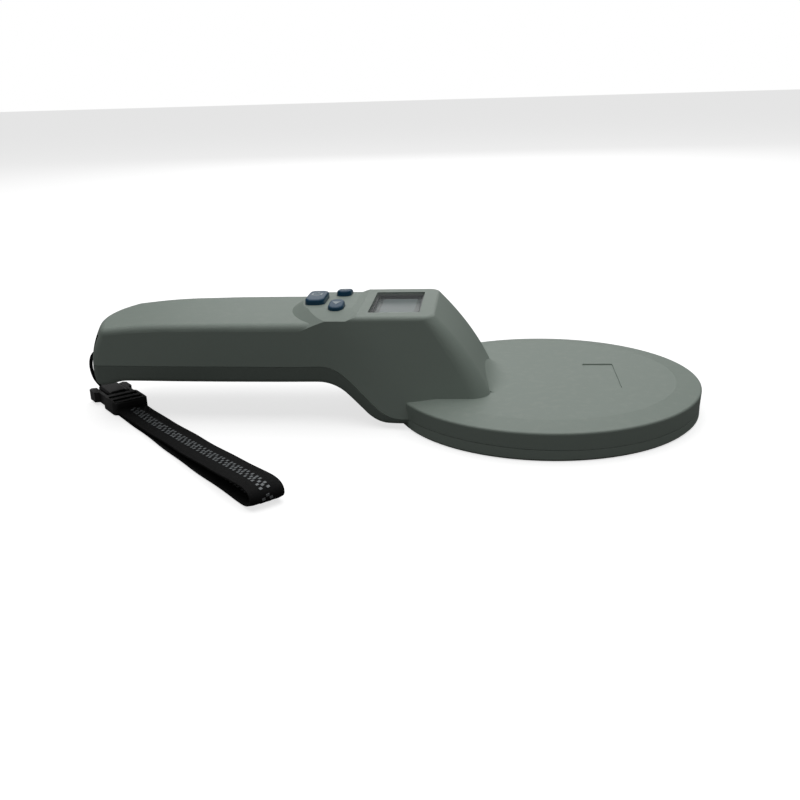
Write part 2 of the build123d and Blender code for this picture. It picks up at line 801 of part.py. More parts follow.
for name, (back, y, length, width, corner) in buttons.items():
    surface = pad_axis_z + sqrt(pad_crown_radius ** 2 - y ** 2)
    with BuildPart() as flange:
        with BuildSketch(Plane((behind(back), y, surface - 10))):
            button_outline(length, width, corner, flange_lip - 0.3)
        extrude(amount=20)
        add(flange_space.part, mode=Mode.INTERSECT)
    with BuildPart() as button:
        with BuildSketch(Plane((behind(back), y, surface - 8))):
            button_outline(length, width, corner, 0)
        extrude(amount=8.2)
        with BuildSketch(Plane((behind(back), y, surface + 0.2))):
            button_outline(length, width, corner, 0)
        extrude(amount=5, taper=button_draft)
        add(button_crown, mode=Mode.INTERSECT)
        add(flange_floor, mode=Mode.SUBTRACT)
        top_face = button.faces().filter_by(GeomType.CYLINDER).sort_by(Axis.Z)[-1]
        fillet(top_face.edges(), radius=button_round)
        add(flange.part)
    button.part.label = name
    export_step(button.part, "parts/" + name + ".step")

# ---------------------------------------------------------------------------
# Fasteners and strap anchor
# ---------------------------------------------------------------------------
for name, places, seat, length in (
    ("disc_screws", disc_screw_places, disc_seat, disc_screw_length),
    ("handle_screws", handle_screw_places, handle_seat, handle_screw_length),
):
    with BuildPart() as screws:
        with Locations([(x, y, seat - screw_head_height / 2) for x, y in places]):
            Cylinder(screw_head_radius, screw_head_height)
        with Locations([(x, y, seat + length / 2) for x, y in places]):
            Cylinder(screw_radius, length)
        with Locations([(x, y, seat - screw_head_height + 0.4) for x, y in places]):
            Box(3.2, 0.7, 0.9, mode=Mode.SUBTRACT)
            Box(0.7, 3.2, 0.9, mode=Mode.SUBTRACT)
    screws.part.label = name
    export_step(screws.part, "parts/" + name + ".step")

with BuildPart() as strap_pin:
    with Locations((pin_x, 0, pin_z)):
        Cylinder(pin_radius, 2 * pin_half, rotation=(90, 0, 0))
strap_pin.part.label = "strap_pin"
export_step(strap_pin.part, "parts/strap_pin.step")

# ---------------------------------------------------------------------------
# Wrist strap: cord, two-part buckle and folded webbing, lying on the base plane
# ---------------------------------------------------------------------------
strap_origin = (end_x + 17.15, -14.56, 0)
strap_plane = Plane(origin=strap_origin, x_dir=(0.663, -0.748, 0), z_dir=(0, 0, 1))
socket_rear = -31.5
socket_front = -15.5
socket_half = 5.2
cord_route = [
    (pin_x - pin_radius - 0.05, 0, pin_z),
    (end_x - 0.3, 0, pin_z + 0.1),
    (end_x - 5.3, 0.1, pin_z - 2.0),
    (end_x - 7.5, 1.0, pin_z - 7.4),
    (end_x - 8.0, 2.8, pin_z - 13.4),
    (end_x - 7.3, 5.2, pin_z - 18.8),
]
cord_end = strap_plane.from_local_coords(Vector(socket_rear, -1.6, 4.6))
route = [Vector(*p) for p in cord_route] + [cord_end]
runs = [(b - a).length for a, b in zip(route, route[1:])]
cord_radii = []
for a, b, c, before, after in zip(route, route[1:], route[2:], runs, runs[1:]):
    turn = radians((b - a).get_angle(c - b))
    cord_radii.append(0.45 * min(before, after) / (sin(turn / 2) / cos(turn / 2)))
with BuildPart() as strap_cord:
    with BuildLine() as cord_path:
        FilletPolyline(*route, radius=cord_radii)
    with BuildSketch(Plane(origin=cord_path.line @ 0, z_dir=cord_path.line % 0)):
        Circle(cord_diameter / 2)
    sweep(path=cord_path.line)
section = 3.14159 * cord_diameter ** 2 / 4
print("cord runs", [round(r, 1) for r in runs], "radii", [round(r, 1) for r in cord_radii])
cord_length = sum(edge.length for edge in cord_path.edges())
print("cord length", round(cord_length, 1), "volume ratio", round(strap_cord.part.volume / section / cord_length, 4))
strap_cord.part.label = "strap_cord"
export_step(strap_cord.part, "parts/strap_cord.step")

with BuildPart() as buckle_socket:
    with BuildSketch(strap_plane.offset(0.5)):
        with Locations(((socket_rear + socket_front) / 2, 0)):
            RectangleRounded(socket_front - socket_rear, 2 * socket_half, 2.4)
    extrude(amount=7.0)
    fillet(buckle_socket.faces().filter_by(Axis.Z).edges(), radius=1.2)
    with BuildSketch(strap_plane.offset(2.3)):
        with Locations((socket_front - 5.5, 0)):
            Rectangle(11.2, 7.0)
    extrude(amount=3.4, mode=Mode.SUBTRACT)
    add(strap_cord.part, mode=Mode.SUBTRACT)
buckle_socket.part.label = "buckle_socket"
export_step(buckle_socket.part, "parts/buckle_socket.step")

frame_half = 8.8
frame_front = 0.8
frame_rear = socket_front + 0.5
with BuildPart() as buckle_plug:
    with BuildSketch(strap_plane.offset(0.2)):
        with Locations(((frame_front + frame_rear) / 2, 0)):
            RectangleRounded(frame_front - frame_rear, 2 * frame_half, 2.6)
    extrude(amount=6.6)
    fillet(buckle_plug.faces().filter_by(Axis.Z).edges(), radius=0.9)
    for centre in (-9.6, -3.6):
        with BuildSketch(strap_plane.offset(-1)):
            with Locations((centre, 0)):
                Rectangle(3.0, 2 * frame_half - 3.4)
        extrude(amount=10, mode=Mode.SUBTRACT)
    for side in (-1, 1):
        with BuildSketch(strap_plane.offset(1.2)):
            with BuildLine():
                Polyline(
                    (frame_rear + 2, side * 5.9),
                    (-31.0, side * 5.9),
                    (-32.0, side * 8.2),
                    (-30.6, side * 9.7),
                    (-23.8, side * 9.7),
                    (-22.6, side * 7.6),
                    (frame_rear + 2, side * 7.6),
                    close=True,
                )
            make_face()
        extrude(amount=5.2)
    with BuildSketch(strap_plane.offset(2.6)):
        with Locations((-20.0, 0)):
            Rectangle(12.4, 6.2)
    extrude(amount=2.8)
buckle_plug.part.label = "buckle_plug"
export_step(buckle_plug.part, "parts/buckle_plug.step")

web_start = frame_front + 0.3
web_end = web_start + webbing_length
with BuildPart() as strap_webbing:
    side_plane = Plane(origin=strap_origin, x_dir=(0.663, -0.748, 0), z_dir=(0.748, 0.663, 0))
    with BuildSketch(side_plane):
        with BuildLine():
            top_run = Spline(
                (web_start, -3.0),
                (web_start + 45, -3.9),
                (web_start + 90, -6.4),
                (web_end - 7, -webbing_height),
                tangents=[(1, 0), (1, 0)],
            )
            ThreePointArc(top_run @ 1, (web_end, -4.6), (web_end - 5, 0))
            Line((web_end - 5, 0), (web_start, 0))
            Line((web_start, 0), top_run @ 0)
        make_face()
    extrude(amount=webbing_width / 2, both=True)
    with BuildSketch(side_plane):
        with BuildLine():
            inner_run = Spline(
                (web_start + 4, -3.0 + webbing_thick),
                (web_start + 45, -3.9 + webbing_thick),
                (web_start + 90, -6.4 + webbing_thick),
                (web_end - 7, webbing_thick - webbing_height),
                tangents=[(1, 0), (1, 0)],
            )
            ThreePointArc(inner_run @ 1, (web_end - webbing_thick, -4.6), (web_end - 5, -webbing_thick))
            Line((web_end - 5, -webbing_thick), (web_start + 4, -webbing_thick))
            Line((web_start + 4, -webbing_thick), inner_run @ 0)
        make_face()
    extrude(amount=webbing_width, both=True, mode=Mode.SUBTRACT)
strap_webbing.part.label = "strap_webbing"
export_step(strap_webbing.part, "parts/strap_webbing.step")
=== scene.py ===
import math

import bmesh
import bpy
from bpy.props import FloatProperty, FloatVectorProperty, IntProperty, PointerProperty
from mathutils import Matrix, Vector


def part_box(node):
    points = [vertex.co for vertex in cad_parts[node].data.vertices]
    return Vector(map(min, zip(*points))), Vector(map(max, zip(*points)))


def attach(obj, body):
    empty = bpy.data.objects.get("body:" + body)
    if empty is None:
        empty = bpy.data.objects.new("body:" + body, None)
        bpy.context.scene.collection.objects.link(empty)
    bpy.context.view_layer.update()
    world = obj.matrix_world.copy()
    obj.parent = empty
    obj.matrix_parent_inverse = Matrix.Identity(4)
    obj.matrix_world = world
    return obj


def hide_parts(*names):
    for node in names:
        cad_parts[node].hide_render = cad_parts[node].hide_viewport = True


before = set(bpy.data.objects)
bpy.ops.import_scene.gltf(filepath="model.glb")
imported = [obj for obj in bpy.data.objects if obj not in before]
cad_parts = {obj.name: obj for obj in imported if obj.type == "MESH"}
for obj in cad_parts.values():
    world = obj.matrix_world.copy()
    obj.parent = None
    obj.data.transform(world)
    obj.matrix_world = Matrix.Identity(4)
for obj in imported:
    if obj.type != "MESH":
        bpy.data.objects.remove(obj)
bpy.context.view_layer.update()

bl_info = {
    "name": "Microchip scanner",
    "version": (1, 0, 0),
    "blender": (4, 5, 0),
    "location": "View3D > Sidebar > Scanner",
    "description": "Finishes, key marks, wrist loop and studio for a handheld microchip scanner",
    "category": "Object",
}

# The wrist strap's own frame: where the webbing starts, which way it runs, and its width direction
STRAP_START = Vector((-0.20015, -0.01456, 0.0))
STRAP_ALONG = Vector((0.6633, -0.7484, 0.0)).normalized()
STRAP_ACROSS = Vector((0.7484, 0.6633, 0.0)).normalized()
CORD_ROUTE = (
    (-0.21195, 0.0, 0.0280),
    (-0.2176, 0.0, 0.0281),
    (-0.2226, 0.0001, 0.0260),
    (-0.2248, 0.0010, 0.0206),
    (-0.2253, 0.0028, 0.0146),
    (-0.2246, 0.0052, 0.0092),
)
# Where the cord goes into the clip: along, across and above the webbing's start
CORD_END = (-0.0315, -0.0016, 0.0046)
CORD_RADIUS = 0.00085

# Reflective bars: size, spacing across the webbing, height above it, slant, and the bare ends
BAR_LENGTH = 0.0013
BAR_WIDTH = 0.0011
BAR_THICKNESS = 0.00012
BAR_ROW_GAP = 0.0016
BAR_LIFT = 0.00004
BAR_SLANT = 14
FIRST_BAR = 0.004
BARE_ENDS = 0.006
STRIP_STEP = 0.0012
EDGE_THINNING = 0.55

# Camera: where it stands, how far it looks down, how far it is turned and how far it is tilted, in radians
CAMERA_PLACE = (-0.0265952, -0.4288688, 0.1516792)
CAMERA_PITCH = 0.3347
CAMERA_TURN = 0.0999
CAMERA_ROLL = -0.0309


# ---------------------------------------------------------------------------
# Settings
# ---------------------------------------------------------------------------
class ShellSettings(bpy.types.PropertyGroup):
    """Moulded housing finish."""

    colour: FloatVectorProperty(
        name="Shell colour", description="Grey-green of the moulded housing",
        default=(0.262, 0.312, 0.276), size=3, min=0, max=1, subtype="COLOR",
    )
    grain: FloatProperty(
        name="Grain", description="Strength of the fine moulded grain", default=0.12, min=0, max=1
    )
    dust: FloatProperty(
        name="Dust", description="Faint pale dust lying on upward faces", default=0.10, min=0, max=1
    )


class KeySettings(bpy.types.PropertyGroup):
    """Keys and their printed marks."""

    colour: FloatVectorProperty(
        name="Key colour", description="Dark blue of the rubber keys",
        default=(0.006, 0.058, 0.118), size=3, min=0, max=1, subtype="COLOR",
    )
    mark_colour: FloatVectorProperty(
        name="Mark colour", description="Pale grey of the printed marks",
        default=(0.36, 0.42, 0.45), size=3, min=0, max=1, subtype="COLOR",
    )
    mark_size: FloatProperty(
        name="Mark size", description="Width of an arrow mark", default=0.0042, min=0.001, unit="LENGTH",
    )


class StrapSettings(bpy.types.PropertyGroup):
    """Wrist loop."""

    width: FloatProperty(name="Width", description="Webbing width", default=0.0146, min=0.005, unit="LENGTH")
    thickness: FloatProperty(
        name="Thickness", description="Webbing thickness", default=0.0014, min=0.0005, unit="LENGTH"
    )
    bar_pitch: FloatProperty(
        name="Bar pitch", description="Spacing of the reflective bars", default=0.0031, min=0.001,
        unit="LENGTH",
    )
    rows: IntProperty(
        name="Bar rows", description="Rows of reflective bars side by side", default=3, min=1, max=5
    )


class StageSettings(bpy.types.PropertyGroup):
    """Camera, light and floor."""

    lens: FloatProperty(name="Lens", description="Focal length", default=41.86, min=10, max=200)
    power: FloatProperty(
        name="Overhead light", description="Power of the overhead soft box", default=11.0, min=0
    )


# ---------------------------------------------------------------------------
# Shader node groups and materials
# ---------------------------------------------------------------------------
def socket(group, name, direction, kind, default=None):
    made = group.interface.new_socket(name=name, in_out=direction, socket_type=kind)
    if default is not None:
        made.default_value = default
    return made


def moulded_grain_group():
    """Fine spark-eroded grain, slow tone drift and settled dust for moulded parts."""
    group = bpy.data.node_groups.new("moulded_grain", "ShaderNodeTree")
    socket(group, "Colour", "INPUT", "NodeSocketColor", (0.3, 0.3, 0.3, 1))
    socket(group, "Grain scale", "INPUT", "NodeSocketFloat", 1800.0)
    socket(group, "Drift", "INPUT", "NodeSocketFloat", 0.05)
    socket(group, "Dust", "INPUT", "NodeSocketFloat", 0.1)
    socket(group, "Roughness", "INPUT", "NodeSocketFloat", 0.5)
    socket(group, "Colour", "OUTPUT", "NodeSocketColor")
    socket(group, "Roughness", "OUTPUT", "NodeSocketFloat")
    socket(group, "Height", "OUTPUT", "NodeSocketFloat")
    nodes, links = group.nodes, group.links
    start, end = nodes.new("NodeGroupInput"), nodes.new("NodeGroupOutput")
    place = nodes.new("ShaderNodeTexCoord")
    grain = nodes.new("ShaderNodeTexNoise")
    grain.inputs["Detail"].default_value = 3.0
    links.new(place.outputs["Object"], grain.inputs["Vector"])
    links.new(start.outputs["Grain scale"], grain.inputs["Scale"])
    drift = nodes.new("ShaderNodeTexNoise")
    drift.inputs["Scale"].default_value = 22.0
    drift.inputs["Detail"].default_value = 2.0
    links.new(place.outputs["Object"], drift.inputs["Vector"])
    centred = nodes.new("ShaderNodeMath")
    centred.operation = "SUBTRACT"
    centred.inputs[1].default_value = 0.5
    links.new(drift.outputs["Fac"], centred.inputs[0])
    amount = nodes.new("ShaderNodeMath")
    amount.operation = "MULTIPLY_ADD"
    amount.inputs[2].default_value = 1.0
    links.new(centred.outputs[0], amount.inputs[0])
    links.new(start.outputs["Drift"], amount.inputs[1])
    shade = nodes.new("ShaderNodeHueSaturation")
    links.new(start.outputs["Colour"], shade.inputs["Color"])
    links.new(amount.outputs[0], shade.inputs["Value"])
    facing = nodes.new("ShaderNodeNewGeometry")
    split = nodes.new("ShaderNodeSeparateXYZ")
    links.new(facing.outputs["Normal"], split.inputs[0])
    upward = nodes.new("ShaderNodeMapRange")
    upward.inputs["From Min"].default_value = 0.6
    links.new(split.outputs["Z"], upward.inputs["Value"])
    specks = nodes.new("ShaderNodeTexNoise")
    specks.inputs["Scale"].default_value = 260.0
    specks.inputs["Detail"].default_value = 5.0
    links.new(place.outputs["Object"], specks.inputs["Vector"])
    sparse = nodes.new("ShaderNodeMapRange")
    sparse.inputs["From Min"].default_value = 0.5
    sparse.inputs["From Max"].default_value = 0.8
    links.new(specks.outputs["Fac"], sparse.inputs["Value"])
    dusty = nodes.new("ShaderNodeMath")
    dusty.operation = "MULTIPLY"
    links.new(upward.outputs["Result"], dusty.inputs[0])
    links.new(sparse.outputs["Result"], dusty.inputs[1])
    weighted = nodes.new("ShaderNodeMath")
    weighted.operation = "MULTIPLY"
    links.new(dusty.outputs[0], weighted.inputs[0])
    links.new(start.outputs["Dust"], weighted.inputs[1])
    mixed = nodes.new("ShaderNodeMixRGB")
    mixed.inputs["Color2"].default_value = (0.55, 0.54, 0.50, 1)
    links.new(weighted.outputs[0], mixed.inputs["Fac"])
    links.new(shade.outputs["Color"], mixed.inputs["Color1"])
    rough = nodes.new("ShaderNodeMath")
    rough.operation = "MULTIPLY_ADD"
    rough.inputs[1].default_value = 0.12
    links.new(centred.outputs[0], rough.inputs[0])
    links.new(start.outputs["Roughness"], rough.inputs[2])
    links.new(mixed.outputs[0], end.inputs["Colour"])
    links.new(rough.outputs[0], end.inputs["Roughness"])
    links.new(grain.outputs["Fac"], end.inputs["Height"])
    return group


def weave_group():
    """Over-and-under weave across a strip, read from its UV map, in metres along and across."""
    group = bpy.data.node_groups.new("webbing_weave", "ShaderNodeTree")
    socket(group, "Rib scale", "INPUT", "NodeSocketFloat", 1100.0)
    socket(group, "Colour", "INPUT", "NodeSocketColor", (0.02, 0.02, 0.02, 1))
    socket(group, "Colour", "OUTPUT", "NodeSocketColor")
    socket(group, "Height", "OUTPUT", "NodeSocketFloat")
    nodes, links = group.nodes, group.links
    start, end = nodes.new("NodeGroupInput"), nodes.new("NodeGroupOutput")
    place = nodes.new("ShaderNodeUVMap")
    place.uv_map = "strip"
    waves = []
    for direction, across in (("X", "Y"), ("Y", "X")):
        wave = nodes.new("ShaderNodeTexWave")
        wave.bands_direction = direction
        wave.inputs["Distortion"].default_value = 0.6
        wave.inputs["Detail"].default_value = 1.0
        links.new(place.outputs["UV"], wave.inputs["Vector"])
        links.new(start.outputs["Rib scale"], wave.inputs["Scale"])
        waves.append(wave)
    woven = nodes.new("ShaderNodeMath")
    woven.operation = "MULTIPLY"
    links.new(waves[0].outputs["Fac"], woven.inputs[0])
    links.new(waves[1].outputs["Fac"], woven.inputs[1])
    tone = nodes.new("ShaderNodeMapRange")
    tone.inputs["To Min"].default_value = 0.55
    tone.inputs["To Max"].default_value = 1.6
    links.new(woven.outputs[0], tone.inputs["Value"])
    shade = nodes.new("ShaderNodeHueSaturation")
    links.new(start.outputs["Colour"], shade.inputs["Color"])
    links.new(tone.outputs["Result"], shade.inputs["Value"])
    links.new(shade.outputs["Color"], end.inputs["Colour"])
    links.new(woven.outputs[0], end.inputs["Height"])
    return group


GROUPS = {}


def group(name, build):
    if name not in GROUPS:
        GROUPS[name] = build()
    return GROUPS[name]


def plastic(
    name, colour, roughness=0.5, grain=0.1, scale=1800.0, drift=0.05, dust=0.05, metal=0.0, specular=0.5
):
    """Moulded, cast or plated finish built on the shared grain group."""
    made = bpy.data.materials.new(name)
    made.use_nodes = True
    nodes, links = made.node_tree.nodes, made.node_tree.links
    shader = nodes["Principled BSDF"]
    shader.inputs["Metallic"].default_value = metal
    shader.inputs["Specular IOR Level"].default_value = specular
    look = nodes.new("ShaderNodeGroup")
    look.node_tree = group("moulded_grain", moulded_grain_group)
    look.inputs["Colour"].default_value = (*colour[:3], 1)
    look.inputs["Grain scale"].default_value = scale
    look.inputs["Drift"].default_value = drift
    look.inputs["Dust"].default_value = dust
    look.inputs["Roughness"].default_value = roughness
    bump = nodes.new("ShaderNodeBump")
    bump.inputs["Strength"].default_value = grain
    bump.inputs["Distance"].default_value = 0.0002
    links.new(look.outputs["Colour"], shader.inputs["Base Color"])
    links.new(look.outputs["Roughness"], shader.inputs["Roughness"])
    links.new(look.outputs["Height"], bump.inputs["Height"])
    links.new(bump.outputs["Normal"], shader.inputs["Normal"])
    return made


def woven(name, colour, scale=1100.0):
    """Matt woven webbing built on the shared weave group."""
    made = bpy.data.materials.new(name)
    made.use_nodes = True
    nodes, links = made.node_tree.nodes, made.node_tree.links
    shader = nodes["Principled BSDF"]
    shader.inputs["Roughness"].default_value = 0.82
    shader.inputs["Specular IOR Level"].default_value = 0.25
    look = nodes.new("ShaderNodeGroup")
    look.node_tree = group("webbing_weave", weave_group)
    look.inputs["Colour"].default_value = (*colour, 1)
    look.inputs["Rib scale"].default_value = scale
    bump = nodes.new("ShaderNodeBump")
    bump.inputs["Strength"].default_value = 0.6
    bump.inputs["Distance"].default_value = 0.0004
    links.new(look.outputs["Colour"], shader.inputs["Base Color"])
    links.new(look.outputs["Height"], bump.inputs["Height"])
    links.new(bump.outputs["Normal"], shader.inputs["Normal"])
    return made


def wound(name, colour):
    """Turns of enamelled wire round the antenna's centre."""
    made = plastic(name, colour, 0.32, 0.1, 900.0, 0.15, 0.0, 0.85)
    nodes, links = made.node_tree.nodes, made.node_tree.links
    place = nodes.new("ShaderNodeTexCoord")
    rings = nodes.new("ShaderNodeTexWave")
    rings.wave_type = "RINGS"
    rings.rings_direction = "Z"
    rings.inputs["Scale"].default_value = 420.0
    links.new(place.outputs["Object"], rings.inputs["Vector"])
    bump = nodes["Bump"]
    bump.inputs["Strength"].default_value = 0.7
    links.new(rings.outputs["Fac"], bump.inputs["Height"])
    return made


def display_face(name, centre):
    """Blue-grey viewing area with a darker strip at each end."""
    made = bpy.data.materials.new(name)
    made.use_nodes = True
    nodes, links = made.node_tree.nodes, made.node_tree.links
    shader = nodes["Principled BSDF"]
    shader.inputs["Roughness"].default_value = 0.22
    place = nodes.new("ShaderNodeTexCoord")
    split = nodes.new("ShaderNodeSeparateXYZ")
    links.new(place.outputs["Object"], split.inputs[0])
    away = nodes.new("ShaderNodeMath")
    away.operation = "SUBTRACT"
    away.inputs[1].default_value = centre
    links.new(split.outputs["X"], away.inputs[0])
    size = nodes.new("ShaderNodeMath")
    size.operation = "ABSOLUTE"
    links.new(away.outputs[0], size.inputs[0])
    strip = nodes.new("ShaderNodeMapRange")
    strip.inputs["From Min"].default_value = 0.0080
    strip.inputs["From Max"].default_value = 0.0083
    links.new(size.outputs[0], strip.inputs["Value"])
    mist = nodes.new("ShaderNodeTexNoise")
    mist.inputs["Scale"].default_value = 90.0
    links.new(place.outputs["Object"], mist.inputs["Vector"])
    tone = nodes.new("ShaderNodeValToRGB")
    tone.color_ramp.elements[0].color = (0.215, 0.275, 0.270, 1)
    tone.color_ramp.elements[1].color = (0.240, 0.300, 0.295, 1)
    links.new(mist.outputs["Fac"], tone.inputs["Fac"])
    both = nodes.new("ShaderNodeMixRGB")
    both.inputs["Color2"].default_value = (0.105, 0.135, 0.130, 1)
    links.new(strip.outputs["Result"], both.inputs["Fac"])
    links.new(tone.outputs["Color"], both.inputs["Color1"])
    links.new(both.outputs[0], shader.inputs["Base Color"])
    return made


def window_glass(name):
    """Thin clear window that lets most of the display through."""
    made = plastic(name, (0.10, 0.12, 0.12), 0.10, 0.0, 600.0, 0.01, 0.0, 0.0, 0.35)
    shader = made.node_tree.nodes["Principled BSDF"]
    shader.inputs["Alpha"].default_value = 0.12
    made.surface_render_method = "BLENDED"
    return made


def dress(node, material):
    """Gives a CAD node its finish."""
    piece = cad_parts[node]
    piece.data.materials.clear()
    piece.data.materials.append(material)


# ---------------------------------------------------------------------------
# Mesh helpers
# ---------------------------------------------------------------------------
def keep(name, mesh):
    piece = bpy.data.objects.new(name, mesh)
    bpy.context.scene.collection.objects.link(piece)
    return piece


def baked(piece):
    """Applies the piece's modifiers and leaves a plain mesh."""
    graph = bpy.context.evaluated_depsgraph_get()
    mesh = bpy.data.meshes.new_from_object(piece.evaluated_get(graph))
    piece.modifiers.clear()
    piece.data = mesh
    return piece


def smooth(piece, angle=40):
    for face in piece.data.polygons:
        face.use_smooth = True
    piece.data.set_sharp_from_angle(angle=math.radians(angle))


def printed_mark(name, outlines, node, material):
    """Thin raised print that follows the top of a key, from outlines measured from the key's middle."""
    low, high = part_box(node)
    centre = Vector(((low[0] + high[0]) / 2, (low[1] + high[1]) / 2))
    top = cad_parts[node]
    made = bmesh.new()
    for points in outlines:
        ring = [made.verts.new((centre.x + x, centre.y + y, high[2] + 0.002)) for x, y in points]
        made.faces.new(ring)
    bmesh.ops.triangulate(made, faces=made.faces[:])
    bmesh.ops.subdivide_edges(made, edges=made.edges[:], cuts=3, use_grid_fill=True)
    for vert in made.verts:
        hit, place, normal, index = top.ray_cast(vert.co, Vector((0, 0, -1)))
        vert.co.z = (place.z if hit else high[2] - 0.0003) + 0.00006
    shell = bmesh.ops.extrude_face_region(made, geom=made.faces[:])
    for vert in [v for v in shell["geom"] if isinstance(v, bmesh.types.BMVert)]:
        vert.co.z -= 0.0002
    bmesh.ops.recalc_face_normals(made, faces=made.faces[:])
    mesh = bpy.data.meshes.new(name)
    made.to_mesh(mesh)
    made.free()
    mesh.materials.append(material)
    return keep(name, mesh)


# ---------------------------------------------------------------------------
# Operators
# ---------------------------------------------------------------------------
class SCANNER_OT_shells(bpy.types.Operator):
    """Finishes the housing, battery door and their screws"""

    bl_idname = "scanner.shells"
    bl_label = "Housing"

    def execute(self, context):
        sizes = context.scene.scanner_shell
        shell = plastic("shell_plastic", sizes.colour, 0.52, sizes.grain, 2200.0, 0.05, sizes.dust, 0.0, 0.4)
        for node in ("upper_shell", "lower_shell", "battery_cover"):
            dress(node, shell)
        steel = plastic("screw_steel", (0.42, 0.42, 0.43), 0.35, 0.15, 1200.0, 0.2, 0.0, 1.0)
        for node in ("disc_screws", "handle_screws", "board_screws", "strap_pin"):
            dress(node, steel)
        return {"FINISHED"}


class SCANNER_OT_display(bpy.types.Operator):
    """Finishes the display window, its frame and the display under it"""

    bl_idname = "scanner.display"
    bl_label = "Display"

    def execute(self, context):
        low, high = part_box("display_window")
        dress("display_window", window_glass("window_clear"))
        dress("display_bezel", plastic("bezel_black", (0.028, 0.032, 0.034), 0.35, 0.05, 900.0, 0.1, 0.02))
        dress("lcd_panel", display_face("lcd_face", (low[0] + high[0]) / 2))
        dress("lcd_carrier", plastic("carrier_white", (0.6, 0.6, 0.58), 0.5))
        return {"FINISHED"}


class SCANNER_OT_keys(bpy.types.Operator):
    """Finishes the three keys and prints their marks"""

    bl_idname = "scanner.keys"
    bl_label = "Keys"

    def execute(self, context):
        sizes = context.scene.scanner_keys
        blue = plastic("key_rubber_blue", sizes.colour, 0.34, 0.12, 1500.0, 0.12, 0.0, 0.0, 0.4)
        print_grey = plastic("mark_ink", sizes.mark_colour, 0.55, 0.2, 2500.0, 0.1, 0.0)
        for node in ("read_button", "up_button", "down_button"):
            dress(node, blue)
        half = sizes.mark_size / 2
        down = [[(-half, half * 0.62), (half, half * 0.62), (0, -half * 1.05)]]
        up = [[(x, -y) for x, y in reversed(down[0])]]
        bar = half * 0.22
        frame_marks = []
        for side in (-1, 1):
            left, right = side * half - bar, side * half + bar
            frame_marks.append([(left, -half), (right, -half), (right, half), (left, half)])
            frame_marks.append([
                (-half + bar, left), (half - bar, left), (half - bar, right), (-half + bar, right),
            ])
        arrow = [[(-half * 0.7, half * 2.6), (half * 0.7, half * 2.6), (0, half * 1.5)]]
        for name, marks, node, body in (
            ("down_mark", down, "down_button", "down_key"),
            ("up_mark", up, "up_button", "up_key"),
            ("read_mark", frame_marks + arrow, "read_button", "read_key"),
        ):
            piece = printed_mark(name, marks, node, print_grey)
            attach(piece, body)
        dress("keypad_mat", plastic("mat_rubber", (0.35, 0.35, 0.33), 0.7))
        return {"FINISHED"}


class SCANNER_OT_inside(bpy.types.Operator):
    """Finishes the board, the antenna coil, the cell and the leads"""

    bl_idname = "scanner.inside"
    bl_label = "Inside"

    def execute(self, context):
        dress("main_board", plastic("board_green", (0.02, 0.14, 0.06), 0.35, 0.08, 500.0, 0.3, 0.0))
        black = plastic("moulded_black", (0.020, 0.021, 0.022), 0.5, 0.15, 1500.0, 0.1, 0.05)
        for node in ("board_chips", "buzzer"):
            dress(node, black)
        dress("coil_former", plastic("former_white", (0.62, 0.62, 0.6), 0.5))
        copper = wound("enamelled_copper", (0.75, 0.32, 0.14))
        dress("antenna_coil", copper)
        dress("coil_lead", plastic("lead_copper", (0.75, 0.32, 0.14), 0.35, 0.1, 900.0, 0.1, 0.0, 0.85))
        dress("battery_block", plastic("cell_jacket", (0.05, 0.05, 0.055), 0.3, 0.05, 700.0, 0.2, 0.02, 0.6))
        dress("battery_snap", black)
        dress("battery_lead", plastic("lead_red", (0.45, 0.02, 0.015), 0.45))
        return {"FINISHED"}


def webbing_line():
    """Side view of the folded webbing: (along, height) of its middle, from the clip and back to it."""
    bottom = [(-0.0015, 0.0009), (0.020, 0.0008), (0.060, 0.0008), (0.100, 0.0008), (0.1270, 0.0008)]
    turn = [(0.1325, 0.0010), (0.1364, 0.0024), (0.1374, 0.0046), (0.1360, 0.0069), (0.1315, 0.0080)]
    back = [(0.1240, 0.0078), (0.1080, 0.0068), (0.0880, 0.0053), (0.0660, 0.0040), (0.0440, 0.0030),
            (0.0240, 0.0024), (0.0080, 0.0024), (-0.0015, 0.0031)]
    return bottom + turn + back


